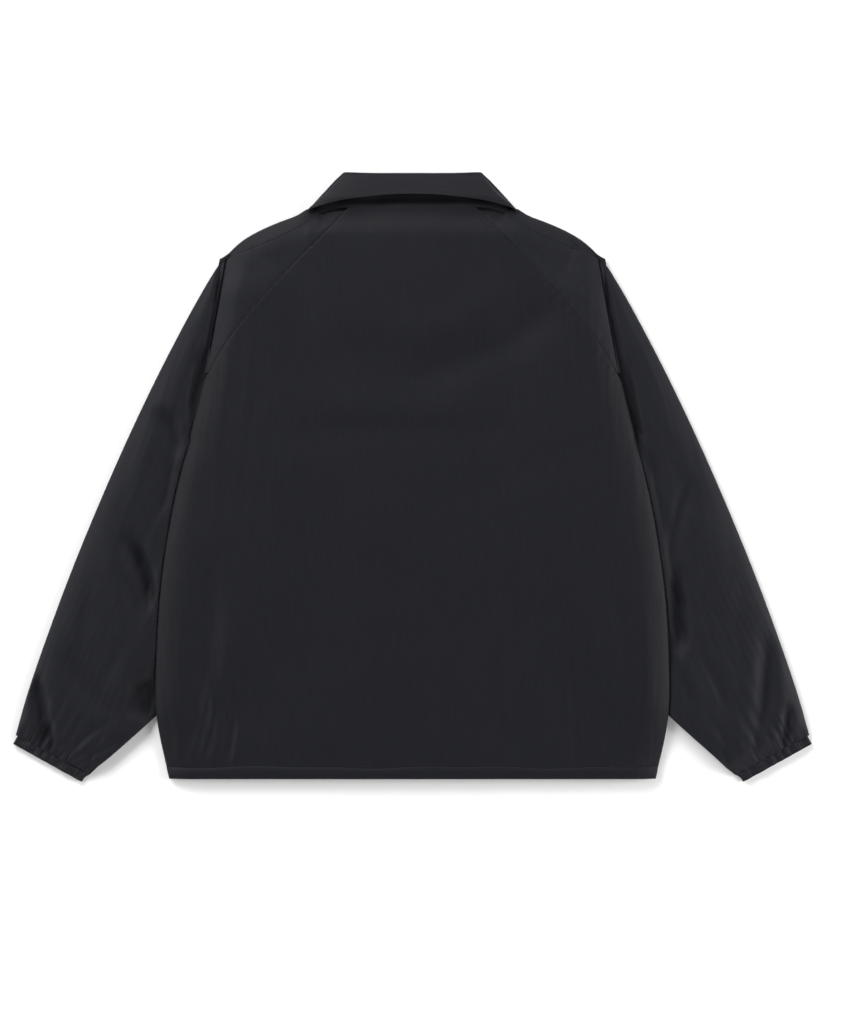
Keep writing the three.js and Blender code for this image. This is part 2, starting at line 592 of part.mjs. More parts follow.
const YOKE_INSET = new THREE.Vector2(0.25, -0.1); // the yoke's side of the raglan seam's gap
function makeSleeve(hand) {
  const rows = sleeveRows().map((row) => sleeveRow({ ...row, back: row.back.clone().add(YOKE_INSET) }, hand));
  return wallSolid(handed(rows.reverse(), hand < 0));
}

// The collar is one folded band round the neck: its fall lies outside its stand, over it at the back,
// beside it at the sides of the neck and under it at the front.
function collarSection(p, hand) {
  const around = Math.asin(p.turn);
  const away = new THREE.Vector3(COLLAR_OUT.x, COLLAR_OUT.y, 0).multiplyScalar(Math.cos(around));
  away.z = Math.sin(around);
  const place = (x, y, out) => new THREE.Vector3(x, y, COLLAR_MIDDLE).addScaledVector(away, out);
  const neck = [p.neckX, p.neckY];
  const fold = [p.foldX, p.foldY];
  const edge = [p.edgeX, p.edgeY];
  const between = (a, b, t) => [lerp(a[0], b[0], t), lerp(a[1], b[1], t)];
  const upwards = new THREE.Vector3(fold[0] - neck[0], fold[1] - neck[1], 0).normalize();
  const stand = BEND;
  const fall = BEND + STEP;
  const turn = [0.25, 0.5, 0.75].map((t) => {
    const a = Math.PI * t;
    const out = (stand + fall) / 2 - BEND * Math.cos(a);
    return place(...fold, out).addScaledVector(upwards, BEND * Math.sin(a));
  });
  const section = [
    place(...neck, stand),
    place(...between(neck, fold, 0.5), stand),
    place(...fold, stand),
    ...turn,
    place(...fold, fall),
    place(...between(fold, edge, 0.5), fall),
    place(...edge, fall),
  ];
  return section.map((q) => new THREE.Vector3(hand * q.x, q.y, q.z));
}

function makeCollar() {
  const right = COLLAR.map((p) => collarSection(p, 1));
  const left = COLLAR.slice(0, -1).map((p) => collarSection(p, -1));
  return wallSolid([...left, ...right.reverse()]);
}

// An elastic cuff: one flattened ring, its upper side ruffled.
function makeCuff(hand) {
  const inner = point(CUFF_EDGE.inner);
  const outer = point(CUFF_EDGE.outer);
  const along = outer.clone().sub(inner);
  const width = along.length() - 2 * BEND;
  along.normalize();
  const upArm = new THREE.Vector2(-along.y, along.x);
  const samples = CUFF_GATHERS * 2;
  const underSteps = 6;
  const ring = (up) => {
    const place = (s, z) => {
      const p = inner.clone().addScaledVector(along, s + BEND).addScaledVector(upArm, up);
      return new THREE.Vector3(hand * p.x, p.y, z);
    };
    const top = range(samples + 1).map((i) => {
      const t = i / samples;
      const swell = soft(t / CUFF_ROUND) * soft((1 - t) / CUFF_ROUND);
      const wave = (1 - Math.cos(i * Math.PI)) / 2;
      return place(t * width, FLOOR + STEP + CUFF_RUFFLE * 2 * swell * wave + GATHER_HEIGHT * swell);
    });
    const bottom = range(underSteps + 1).map((i) => place((1 - i / underSteps) * width, FLOOR));
    return [...top, place(width + BEND, FLOOR + BEND), ...bottom, place(-BEND, FLOOR + BEND)];
  };
  const rows = [SEAM_GAP, CUFF_BAND / 2, CUFF_BAND].map(ring);
  return wallSolid(handed(rows, hand < 0), true);
}

function makeSnap(y) {
  const cap = new THREE.CylinderGeometry(SNAP_RADIUS, SNAP_RADIUS, SNAP_THICK, 20).toNonIndexed();
  cap.rotateX(Math.PI / 2);
  cap.translate(0, y, collarLift(0, y) + SNAP_THICK / 2);
  return cap;
}

for (const [side, hand] of [["left", -1], ["right", 1]]) {
  addPiece("sleeve_" + side, makeSleeve(hand), NYLON);
  addPiece("front_" + side, makeFront(hand), NYLON);
  addPiece("hem_front_" + side, makeFrontHem(hand), NYLON);
}
addPiece("back", makeBack(), NYLON);
addPiece("hem_back", makeBackHem(), NYLON);
addPiece("collar", makeCollar(), NYLON);
addPiece("cuff_left", makeCuff(-1), ELASTIC);
addPiece("cuff_right", makeCuff(1), ELASTIC);
range(SNAP_COUNT).forEach((i) => {
  const y = lerp(TOP_SNAP_Y, BOTTOM_SNAP_Y, i / (SNAP_COUNT - 1));
  addPiece("snap_" + (i + 1), makeSnap(y), SNAP_ENAMEL);
});

export default jacket;
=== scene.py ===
# %% [markdown]
# # A coach jacket laid out flat
#
# The jacket lies on its front, so its back, the backs of both sleeves and the fall of the collar show.
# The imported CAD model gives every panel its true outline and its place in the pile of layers. What it
# leaves to this script is the cloth: rounded panel edges, the folds that the nylon has kept, the gathers
# at the cuffs and hem, the stitching and the finish of every surface.

# %% Load the frame
import math
from collections import namedtuple
import bmesh
import bpy
import numpy as np
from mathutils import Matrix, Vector
from mathutils.bvhtree import BVHTree


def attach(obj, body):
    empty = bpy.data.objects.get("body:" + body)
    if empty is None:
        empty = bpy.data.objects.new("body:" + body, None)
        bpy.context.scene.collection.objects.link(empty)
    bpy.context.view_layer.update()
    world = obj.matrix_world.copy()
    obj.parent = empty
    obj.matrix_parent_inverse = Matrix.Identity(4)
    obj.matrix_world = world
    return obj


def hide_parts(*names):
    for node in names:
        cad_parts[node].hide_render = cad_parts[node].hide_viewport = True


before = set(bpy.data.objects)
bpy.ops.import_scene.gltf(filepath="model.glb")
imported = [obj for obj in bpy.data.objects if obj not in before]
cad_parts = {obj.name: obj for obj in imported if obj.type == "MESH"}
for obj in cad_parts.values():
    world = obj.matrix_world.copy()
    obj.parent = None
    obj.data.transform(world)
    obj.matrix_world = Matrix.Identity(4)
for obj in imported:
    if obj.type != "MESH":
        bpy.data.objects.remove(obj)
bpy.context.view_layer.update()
MM = 0.001
print("nodes:", ", ".join(sorted(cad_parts)))

# %% [markdown]
# The photograph was taken from straight above with a long lens, so the camera looks down. Its target is a
# little to the right of the jacket's middle and below it, and one pixel covers 1.2 mm of the floor.

# %% Camera
PIXEL = 1.2 * MM
PHOTO_HIGH = 1024
LENS = 100
SENSOR = 36
TARGET = Vector((16.8 * MM, -42 * MM, 0))

camera_data = bpy.data.cameras.new("camera")
camera_data.lens = LENS
camera_data.sensor_width = SENSOR
camera_data.clip_end = 20
camera = bpy.data.objects.new("camera", camera_data)
camera.location = TARGET + Vector((0, 0, PHOTO_HIGH * PIXEL * LENS / SENSOR))
bpy.context.collection.objects.link(camera)
bpy.context.scene.camera = camera
print("camera height:", round(camera.location.z, 2), "m")

# %% [markdown]
# The folds have to know where the panels end. Those places are measured on the CAD nodes themselves: the
# half width of the back at each height gives the side seam and the raglan seam above it, and the outermost
# points of a sleeve give its outer edge.

# %% Where the panels end
def soft(t):
    t = np.clip(t, 0, 1)
    return t * t * (3 - 2 * t)


def points_of(node):
    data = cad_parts[node].data
    co = np.empty(len(data.vertices) * 3, np.float32)
    data.vertices.foreach_get("co", co)
    return co.reshape(-1, 3) / MM


def outline_of(node, step):
    """The widest |x| of a node at each height, as (heights, widths) in millimetres."""
    co = points_of(node)
    co[:, 0] = np.abs(co[:, 0])
    rows = np.floor(co[:, 1] / step)
    widest = [co[rows == row][co[rows == row, 0].argmax()] for row in np.unique(rows)]
    return np.array(widest).T[1::-1]


APEX = (224, 264)  # the pleat over the sleeve starts here, on the shoulder
FOOT = (250, 114)  # the raglan seam ends here, at the side of the body
HEM_Y = -346.8
HEM_MIDDLE = -354
NECK_Y = 322.5
CUFF_SEAM = np.array(((387.0, -356.0), (474.0, -309.5)))  # inner and outer end


def upper_hull(places):
    """The outer corners of a cloud of places, from its left end over its top to its right end."""
    hull = []
    for x, y in sorted(map(tuple, places)):
        while len(hull) > 1:
            (ax, ay), (bx, by) = hull[-2:]
            if (bx - ax) * (y - ay) - (by - ay) * (x - ax) < 0:
                break
            hull.pop()
        hull.append((x, y))
    return np.array(hull).T


back_rows = outline_of("back", 12)
arm_outline = upper_hull(points_of("sleeve_right")[:, :2])
heights = np.linspace(-320, APEX[1], 60)
arm_curve = np.polyfit(heights, np.interp(heights, *arm_outline[::-1, ::-1]), 5)


def body_edge(y):
    """The folded edge at the side of the body, over the sleeve."""
    below = np.interp(y, *back_rows)
    above = np.interp(y, (FOOT[1], APEX[1]), (FOOT[0], APEX[0]))
    return np.where(y < FOOT[1], below, above)


def arm_edge(y):
    return np.polyval(arm_curve, np.clip(y, -312, APEX[1]))


def inside_shoulder(x, y):
    """How far a place lies inside the shoulder's edge. Under the collar it is taken as further in."""
    edge = np.interp(np.abs(x), *arm_outline)
    return (edge - y) * 0.9 + 1.1 * np.maximum(128 - np.abs(x), 0)


def raglan_seam(x, y):
    """How far a place lies outside the raglan seam."""
    return np.where(y > FOOT[1], (np.abs(x) - np.interp(y, *back_rows)) * 0.78, -99.0)


def cuff_place(x, y):
    """A place along the cuff's seam, and how far up the sleeve it lies from there."""
    way = CUFF_SEAM[1] - CUFF_SEAM[0]
    way = way / np.linalg.norm(way)
    dx, dy = np.abs(x) - CUFF_SEAM[0, 0], y - CUFF_SEAM[0, 1]
    return dx * way[0] + dy * way[1], dy * way[0] - dx * way[1]


print("body is", round(2 * float(body_edge(np.float64(-200.0)))), "mm wide near its hem")

# %% [markdown]
# Each fold is a short run with a bend in its middle. Across the run it is a soft trough or ridge that is
# steeper on one side, and along the run it fades out at both ends, as creases in thin cloth do. The tables
# hold the larger folds of the photographed jacket, one row each, in millimetres.

# %% Folds
Fold = namedtuple("Fold", "x1 y1 bow x2 y2 wide high skew")


def fold_heights(x, y, folds):
    """The sum of the folds at each place. Positive heights are ridges."""
    total = np.zeros_like(x)
    for f in folds:
        a = np.array((f.x1, f.y1), float)
        b = np.array((f.x2, f.y2), float)
        way = (b - a) / np.linalg.norm(b - a)
        side = np.array((-way[1], way[0]))
        along = ((x - a[0]) * way[0] + (y - a[1]) * way[1]) / np.linalg.norm(b - a)
        across = (x - a[0]) * side[0] + (y - a[1]) * side[1]
        across = across - f.bow * (1 - (2 * along - 1) ** 2)
        wide = f.wide * np.where(across > 0, f.skew, 2 - f.skew)
        fade = soft((along + 0.18) / 0.45) * soft((1.18 - along) / 0.45)
        total += f.high * fade * np.exp(-((across / wide) ** 2))
    return total


BACK_FOLDS = [
    Fold(165, 196, 6, 0, 116, 20, -2.6, 1.2),
    Fold(130, 232, 0, 20, 160, 22, 1.2, 1.0),
    Fold(-150, 56, 3, 95, 56, 15, -0.8, 0.8),
    Fold(-120, 84, 0, 70, 80, 16, 0.4, 1.0),
    Fold(150, 20, 5, 40, -30, 16, -0.5, 1.0),
    Fold(-240, -105, 5, -251, -262, 15, -2.4, 0.8),
    Fold(-231, -205, 0, -238, -265, 7, -0.8, 1.1),
    Fold(-222, -180, 2, -228, -262, 7, 0.7, 1.0),
    Fold(-243, -252, 4, -264, -338, 5, 1.9, 0.8),
    Fold(-236, -272, 3, -254, -340, 4.5, -1.6, 1.0),
    Fold(-228, -278, 2, -240, -342, 5, 1.5, 1.2),
    Fold(-214, -290, 0, -222, -343, 5, -1.4, 1.0),
    Fold(-207, -296, 1, -213, -343, 4, 1.5, 0.9),
    Fold(-278, -296, 0, -281, -336, 4, 0.8, 1.0),
    Fold(-190, -230, 3, -203, -338, 6, 0.6, 1.0),
    Fold(-180, -262, 1, -188, -342, 6, -0.6, 1.0),
    Fold(-158, -240, 2, -166, -340, 7, 0.5, 1.0),
    Fold(-140, -270, 0, -146, -343, 6, -0.5, 1.0),
    Fold(-106, -262, 2, -109, -343, 7, 0.3, 1.0),
    Fold(-60, -290, 0, -62, -344, 6, -0.3, 1.0),
    Fold(-20, -270, 2, -22, -344, 7, 0.3, 1.0),
    Fold(36, -250, 2, 38, -343, 7, -0.4, 1.0),
    Fold(84, -280, 0, 86, -344, 6, 0.3, 1.0),
    Fold(118, -215, 3, 126, -340, 8, -0.5, 1.1),
    Fold(148, -180, 3, 158, -330, 8, 0.5, 1.0),
    Fold(187, -200, 3, 195, -342, 7, -0.6, 1.0),
    Fold(214, -160, 2, 226, -330, 8, 0.6, 0.9),
    Fold(240, -120, 4, 256, -300, 9, -0.6, 1.0),
    Fold(276, -150, 2, 282, -280, 7, 0.5, 1.0),
    Fold(-262, 30, 3, -284, -90, 9, 0.5, 1.0),
    Fold(-246, 60, 2, -262, -60, 9, -0.5, 1.0),
    Fold(242, 70, 2, 262, -60, 9, -0.4, 1.0),
    Fold(-40, -60, 8, 60, -150, 30, 0.3, 1.0),
    Fold(-110, -80, 0, -80, -190, 22, -0.4, 1.0),
    Fold(-196, 150, 3, -206, 40, 10, 0.4, 1.0),
]
SHOULDER_FOLDS = [
    Fold(196, 284, -3, 183, 236, 6, -1.2, 0.7),
    Fold(184, 240, 2, 202, 220, 5, -0.9, 1.1),
    Fold(206, 262, 2, 198, 232, 6, 0.6, 1.0),
    Fold(-194, 277, -2, -173, 256, 5, -0.8, 1.2),
    Fold(-205, 250, 2, -212, 205, 6, 0.3, 1.0),
]
LEFT_ARM_FOLDS = [
    Fold(-258, 150, 2, -266, 76, 7, -3.0, 1.2),
    Fold(-300, 80, 4, -280, 24, 11, -5.0, 0.8),
    Fold(-290, 22, 4, -300, -44, 10, -3.2, 1.0),
    Fold(-322, 40, 4, -340, -70, 14, 0.7, 1.0),
    Fold(-339, -74, 4, -311, -154, 11, -9.0, 0.8),
    Fold(-352, -110, 3, -330, -170, 8, -1.7, 1.0),
    Fold(-366, -70, 5, -345, -190, 13, 0.9, 1.0),
    Fold(-311, -240, 2, -321, -286, 14, -8.0, 1.0),
    Fold(-326, -244, 0, -338, -283, 9, -4.0, 1.0),
    Fold(-345, -238, 3, -352, -285, 7, 0.8, 1.0),
    Fold(-418, -210, -6, -346, -286, 13, -1.7, 1.2),
    Fold(-438, -226, -5, -380, -296, 14, 0.9, 0.9),
    Fold(-451, -240, 3, -440, -330, 9, -7.5, 0.8),
    Fold(-436, -300, 2, -433, -334, 4, -4.5, 1.0),
    Fold(-426, -302, 0, -424, -336, 4.5, 2.4, 1.0),
    Fold(-436, -272, 2, -430, -322, 5, 0.8, 1.0),
    Fold(-416, -337, 3, -368, -297, 5, -1.8, 1.0),
    Fold(-398, -345, 2, -354, -317, 4, -2.0, 0.8),
    Fold(-405, -330, 3, -362, -300, 5, 0.5, 1.0),
    Fold(-424, -330, 2, -436, -296, 4, -1.8, 1.0),
    Fold(-432, -326, 0, -441, -300, 3.5, 0.8, 1.0),
    Fold(-384, -120, 3, -398, -190, 9, -0.8, 1.0),
    Fold(-400, -150, 3, -414, -215, 9, 0.4, 1.0),
    Fold(-352, -190, 2, -364, -240, 8, -0.8, 1.0),
    Fold(-318, -180, 2, -326, -236, 8, 0.6, 1.0),
]
RIGHT_ARM_FOLDS = [
    Fold(259, 136, -2, 271, 40, 7, -3.0, 0.7),
    Fold(282, 112, -2, 300, 60, 8, 0.6, 1.0),
    Fold(284, 30, 0, 299, -70, 9, -3.2, 1.0),
    Fold(330, -8, -4, 306, -110, 9, -3.5, 1.1),
    Fold(348, -40, -4, 335, -140, 11, 0.8, 1.0),
    Fold(322, -140, 3, 306, -178, 8, -2.5, 1.0),
    Fold(314, -112, -2, 323, -204, 10, -8.5, 1.0),
    Fold(338, -168, 2, 330, -214, 7, 0.9, 1.0),
    Fold(314, -218, 3, 334, -276, 8, -2.2, 0.8),
    Fold(346, -218, 3, 374, -276, 8, -1.4, 1.2),
    Fold(360, -214, 3, 390, -268, 9, 0.6, 1.0),
    Fold(367, -298, 0, 378, -344, 6, -1.9, 1.0),
    Fold(384, -290, 2, 396, -342, 6, 0.8, 1.0),
    Fold(423, -198, 3, 416, -300, 9.5, -4.8, 1.0),
    Fold(404, -200, 4, 398, -300, 11, 0.7, 1.0),
    Fold(442, -214, 3, 436, -292, 9, 0.7, 1.0),
    Fold(450, -276, 1, 444, -326, 5, -5.5, 1.0),
    Fold(412, -306, 0, 408, -338, 4, -1.9, 1.0),
    Fold(424, -302, 0, 420, -334, 4, 0.9, 1.0),
    Fold(392, -120, 3, 384, -190, 10, -0.7, 1.0),
    Fold(372, -60, 3, 380, -130, 10, -0.6, 1.0),
]
print(len(BACK_FOLDS) + len(SHOULDER_FOLDS) + len(LEFT_ARM_FOLDS) + len(RIGHT_ARM_FOLDS), "folds")

# %% [markdown]
# Between the large folds the nylon is crinkled all over: fine creases run down the body and along the
# sleeves, none straight and no two alike. A few sine waves whose phase wanders along the cloth give that
# unevenness, and the same waves serve every panel, turned to its own direction.

# %% Crinkles
def crinkle(x, y, angle=0.0, seed=0.0):
    """Fine uneven creases that run along y, turned by angle."""
    u = x * math.cos(angle) + y * math.sin(angle)
    v = -x * math.sin(angle) + y * math.cos(angle)
    total = np.zeros_like(x)
    for period, run, share in ((23, 150, 1.0), (13.7, 90, 0.8), (8.3, 61, 0.55)):
        wander = 2.2 * np.sin(v / run * 2.1 + seed + u / 47) + 1.6 * np.sin(v / run * 0.9 - u / 83 + 2 * seed)
        patch = soft(0.5 + 0.9 * np.sin(v / (run * 0.8) + u / 39 + seed * 3))
        total += share * patch * np.sin(u / period * 2 * math.pi + wander)
    return total


# %% [markdown]
# A panel of the jacket is a copy of its CAD node, made smooth. The copy's loose triangles are merged and
# joined to the four-sided faces that they were cut from. The sharp rims of the wall are marked as creases,
# so that subdivision rounds the cloth but keeps each seam where it is.

# %% Panels from nodes
RIM_ANGLE = math.radians(72)


def panel_from(node, name, levels):
    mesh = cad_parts[node].data.copy()
    mesh.name = name
    for attribute in ("custom_normal", "sharp_edge", "sharp_face"):
        if attribute in mesh.attributes:
            mesh.attributes.remove(mesh.attributes[attribute])
    mesh.materials.clear()
    shape = bmesh.new()
    shape.from_mesh(mesh)
    bmesh.ops.remove_doubles(shape, verts=shape.verts, dist=1e-6)
    bmesh.ops.join_triangles(
        shape, faces=shape.faces, angle_face_threshold=math.radians(60), angle_shape_threshold=math.pi
    )
    crease = shape.edges.layers.float.new("crease_edge")
    for edge in shape.edges:
        if edge.calc_face_angle(0) > RIM_ANGLE:
            edge[crease] = 1
    shape.to_mesh(mesh)
    shape.free()
    piece = bpy.data.objects.new(name, mesh)
    bpy.context.collection.objects.link(piece)
    smooth = piece.modifiers.new("smooth", "SUBSURF")
    smooth.levels = smooth.render_levels = levels
    apply_modifier(piece, smooth)
    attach(piece, "root")
    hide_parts(node)
    return piece


def finer_above(piece):
    """Quarters the faces that look up, because only those show the folds."""
    shape = bmesh.new()
    shape.from_mesh(piece.data)
    edges = {edge for face in shape.faces if face.normal.z > 0.3 for edge in face.edges}
    in_order = sorted(edges, key=lambda edge: edge.index)
    bmesh.ops.subdivide_edges(shape, edges=in_order, cuts=1, use_grid_fill=True)
    shape.to_mesh(piece.data)
    shape.free()


def apply_modifier(piece, modifier):
    bpy.ops.object.select_all(action="DESELECT")
    bpy.context.view_layer.objects.active = piece
    piece.select_set(True)
    bpy.ops.object.modifier_apply(modifier=modifier.name)


def get_points(piece):
    co = np.empty(len(piece.data.vertices) * 3)
    piece.data.vertices.foreach_get("co", co)
    return co.reshape(-1, 3) / MM


def set_points(piece, co):
    piece.data.vertices.foreach_set("co", (co * MM).ravel())
    piece.data.update()
    piece.data.shade_smooth()
    piece.data.set_sharp_from_angle(angle=math.radians(42))


# %% [markdown]
# The cloth stands up round at every free edge. That swell is a quarter of an ellipse: steep at the edge and
# level a finger's width further in. It lifts the whole wall, so the panel stays one even thickness.

# %% Swell of the edges
BODY_SWELL = (7.0, 31)  # height, and how far in it reaches
ARM_SWELL = (8.0, 27)


def swell(distance, size):
    high, reach = size
    t = np.clip(1 - distance / reach, 0, 1)
    return high * np.sqrt(1 - t * t)


def mottle(x, y):
    """Soft broad unevenness, as of cloth that has been smoothed out by hand."""
    first = np.sin(x / 46 + 1.7 * np.sin(y / 61)) * np.sin(y / 53 + 1.1 * np.sin(x / 71))
    second = np.sin((x + y) / 27 + 1.3 * np.sin((x - y) / 44)) * np.sin((x - 1.4 * y) / 38)
    return first + 0.6 * second


def seam_groove(distance):
    return -0.4 * np.exp(-((distance / 1.7) ** 2))


def raglan_puckers(x, y):
    """Short creases that the seam draws into the cloth on both sides of it."""
    away = np.abs(raglan_seam(x, y))
    along = y * 0.75 - np.abs(x) * 0.66
    return 0.22 * np.sin(along / 1.9 + 1.6 * np.sin(along / 11)) * np.exp(-((away / 9) ** 2)) * soft(away / 2)


def body_lift(x, y):
    """The lift of the back, the yokes and the back hem, which lie level with each other."""
    side = np.where(y < APEX[1], body_edge(y) - np.abs(x), 99.0)
    inside = np.maximum(np.minimum(side, inside_shoulder(x, y)), 0)
    level = soft(inside / 12) * (soft((y - HEM_Y) / 9) * 0.7 + 0.3) * soft((NECK_Y + 6 - y) / 24)
    folds = fold_heights(x, y, BACK_FOLDS) + fold_heights(x, y, SHOULDER_FOLDS)
    fine = 0.09 * crinkle(x, y) * (0.4 + 1.0 * soft((np.abs(x) - 110) / 120))
    seams = seam_groove(raglan_seam(x, y)) + seam_groove(y - HEM_Y)
    neck = 1.5 * soft((y - NECK_Y + 34) / 32) * soft((104 - np.abs(x)) / 24)
    band = 1.1 * np.clip(1 - ((y - HEM_MIDDLE) / 8.2) ** 2, 0, 1) * soft((HEM_Y + 1 - y) / 2)
    under_collar = soft((y - NECK_Y + 34) / 30) * soft((140 - np.abs(x)) / 24)
    round_edge = swell(inside, BODY_SWELL) * (1 - 0.85 * under_collar)
    placket = soft((75 - np.abs(x)) / 50) * soft((320 - y) / 60)
    plateau = (1.4 - 3.0 * placket) * soft(inside / 30) * (1 - 0.85 * under_collar)
    return plateau + round_edge + level * (folds + fine + 0.3 * mottle(x, y) + raglan_puckers(x, y)) + seams + neck + band


# The sleeve rises from under the body's edge over this far, at each height.
# Beside the body: y, how far out the sleeve takes to rise, and the part of that rise it makes at once.
BESIDE_LEFT = np.array([
    (-300, 20, 0.2), (-262, 28, 0.05), (-225, 9, 0.9), (-150, 9, 1), (-60, 12, 1), (30, 9, 1),
    (60, 12, 0.6), (85, 15, 0.1), (110, 17, 0), (140, 14, 0.1), (160, 10, 0.5), (190, 9, 0.6), (235, 9, 0.4),
])
BESIDE_RIGHT = np.array([
    (-300, 9, 0.8), (-240, 16, 0.6), (-200, 24, 0.05), (-155, 16, 0.5), (-110, 9, 1), (0, 10, 1),
    (25, 12, 0.4), (50, 14, 0), (110, 15, 0), (150, 12, 0.3), (190, 9, 0.5), (235, 9, 0.4),
])


def beside_body(x, y, column):
    left = np.interp(y, BESIDE_LEFT[:, 0], BESIDE_LEFT[:, column])
    right = np.interp(y, BESIDE_RIGHT[:, 0], BESIDE_RIGHT[:, column])
    return np.where(x > 0, right, left)


def arm_lift(x, y):
    """The lift of a sleeve's upper layer, outside the body's edge."""
    outer = np.maximum((arm_edge(y) - np.abs(x)) * 0.9, 0)
    beside = np.abs(x) - body_edge(y)
    along, away = cuff_place(x, y)
    at_once = beside_body(x, y, 2)
    clear = at_once * soft((beside + 2.5) / 3) + (1 - at_once) * soft((beside - 1) / beside_body(x, y, 1))
    folds = np.where(x < 0, fold_heights(x, y, LEFT_ARM_FOLDS), fold_heights(x, y, RIGHT_ARM_FOLDS))
    fine = np.where(x < 0, crinkle(x, y, -ARM_TURN, 1.3), crinkle(x, y, ARM_TURN, 4.1))
    gathers = np.sin(along / 1.75 + 2.1 * np.sin(along / 6.1)) + 0.7 * np.sin(along / 3.3 + 1.9 * np.sin(along / 9))
    reach = 11 + 5 * np.sin(along / 8.7) + 3 * np.sin(along / 3.9 + x / 400)
    gathers = 1.7 * gathers * np.exp(-away / reach) * soft(away / 4)
    cloth = (folds * soft(away / 14) + 0.12 * fine + 0.3 * mottle(x, y)) * soft(outer / 9) * soft(beside / 12)
    lift = swell(outer, ARM_SWELL) * clear * soft((away + 3) / 24) + cloth + gathers * soft(outer / 6)
    return np.maximum(lift, -0.9)


ARM_TURN = math.radians(21)  # how far the sleeves lean out

def settle_body(co):
    """Puffs a piece of the body's upper layer, waves its hem seam and draws the seams shut."""
    x, y = co[:, 0], co[:, 1]
    out = co.copy()
    out[:, 2] += body_lift(x, y)
    out[:, 1] += (1.1 * np.sin(x / 37) + 0.7 * np.sin(x / 16 + 1)) * np.exp(-(((y - HEM_Y) / 7) ** 2))
    away = raglan_seam(x, y)
    out[:, 0] -= np.sign(x) * np.sign(away) * 0.2 * soft(1.6 - np.abs(away))
    return out


# %% Back panel
back = panel_from("back", "back_panel", 2)
finer_above(back)
co = get_points(back)
co = settle_body(co)
set_points(back, co)
print("back panel:", len(back.data.polygons), "faces")

# %% Back hem
hem_back = panel_from("hem_back", "back_hem", 4)
co = get_points(hem_back)
co = settle_body(co)
set_points(hem_back, co)

# %% Sleeves
def collar_lift(x, y):
    reach = 88 + 40 * np.clip((y - 190) / 130, 0, 1)
    return 3 * soft((y - 145) / 38) * soft((reach + 42 - np.abs(x)) / 38)


def settle_sleeve(co):
    x, y, z = co.T
    layer_gap = 8.3 + (3.0 + collar_lift(x, y) - 8.3) * soft((y - 225) / 20)
    inside = (np.abs(x) < body_edge(y) - 2.5) | (y > APEX[1])
    yoke_part = soft((z - layer_gap) / 1.2 + 0.5)
    arm_part = soft((z - 2.2) / 1.6)
    out = settle_body(co)
    body_z = out[:, 2]
    out[:, 2] = z + np.where(inside, yoke_part * (body_z - z), arm_part * arm_lift(x, y))
    along, away = cuff_place(x, y)
    reach = 0.4 * soft(1 - away / 4)
    meet = 4 * soft((np.abs(x) - 108) / 8) * soft((142 - np.abs(x)) / 18) * soft((y - 296) / 16)
    out[:, 0] += np.sign(x) * reach * 0.47
    out[:, 1] += meet - reach * 0.88
    return out


def calm_shoulder(sleeve):
    """Evens out the solid's flat pleat on the shoulder, above the place where it folds."""
    x, y, z = get_points(sleeve).T
    inside = np.minimum(inside_shoulder(x, y), raglan_seam(x, y)) / 4
    weight = soft((y - APEX[1] + 2) / 10) * soft(inside) * soft(z - 3.2)
    group = sleeve.vertex_groups.new(name="shoulder")
    for index in np.nonzero(weight > 0.01)[0]:
        group.add([int(index)], float(weight[index]), "REPLACE")
    calm = sleeve.modifiers.new("calm", "SMOOTH")
    calm.iterations = 18
    calm.factor = 0.6
    calm.vertex_group = group.name
    apply_modifier(sleeve, calm)
    sleeve.vertex_groups.clear()


def paint_crease_shade(sleeve):
    """Writes painted shade for the material: how deep in a crease each point of the upper layer lies, from 0 to 1.
    The material darkens the cloth that much there.
    """
    x, y, z = get_points(sleeve).T
    folds = np.where(x < 0, fold_heights(x, y, LEFT_ARM_FOLDS), fold_heights(x, y, RIGHT_ARM_FOLDS))
    above = soft((z - 3.0) / 0.6) * (np.abs(x) > body_edge(y) - 2.5) * (y < APEX[1])
    painted_crease_shade = sleeve.data.attributes.new("painted_crease_shade", "FLOAT", "POINT")
    painted_crease_shade.data.foreach_set("value", above * np.clip((-folds - 0.5) / 10, 0, 1))


sleeves = []
for side in ("left", "right"):
    sleeve = panel_from("sleeve_" + side, "raglan_sleeve_" + side, 2)
    finer_above(sleeve)
    paint_crease_shade(sleeve)
    calm_shoulder(sleeve)
    set_points(sleeve, settle_sleeve(get_points(sleeve)))
    sleeves.append(sleeve)
    print(sleeve.name, len(sleeve.data.polygons), "faces")

# %% [markdown]
# The fall of the collar stands a little off the back: it climbs from the fold to its own edge, which
# throws a deep shadow on the stand below it. The stand sinks towards the neck seam.

# %% Collar
FALL_FOLD_Y = 361.5
FALL_RISE = 8.0
FALL_DROOP = 3.0
STAND_SINK = 5.0
STAND_SINK_BESIDE = 0.8  # where the front half of the collar lies below

collar = panel_from("collar", "folded_collar", 3)
co = get_points(collar)
x, y, z = co.T
down = np.clip((FALL_FOLD_Y - y) / 24, 0, 1)
turn = np.interp(np.abs(x), (68, 98, 112, 117), (1, 0.9, 0.5, 0))
is_fall = soft((z - 5.2 - 3 * turn) / 0.6) * soft((y - 312) / 14)
is_stand = (1 - is_fall) * soft((z - 5.2) / 0.6) * soft((y - 300) / 14) * soft((100 - np.abs(x)) / 22)
sink = soft((y - NECK_Y - 1) / 11) * soft((FALL_FOLD_Y - y) / 14)
depth = STAND_SINK_BESIDE + (STAND_SINK - STAND_SINK_BESIDE) * soft((60 - np.abs(x)) / 22)
corner = soft((np.abs(x) - 84) / 28) * soft((352 - y) / 18) * soft((y - 300) / 10) * soft((z - 4.2) / 1.6)
out = co.copy()
out[:, 2] += is_fall * (1 + FALL_RISE * down + 0.35 * np.sin(x / 19) * down)
at_seam = body_lift(x, np.minimum(y, NECK_Y - 1)) * soft((NECK_Y + 11 - y) / 9)
out[:, 2] += corner * (1 - is_fall) * 2.5 + is_stand * (0.9 * at_seam - depth * sink)
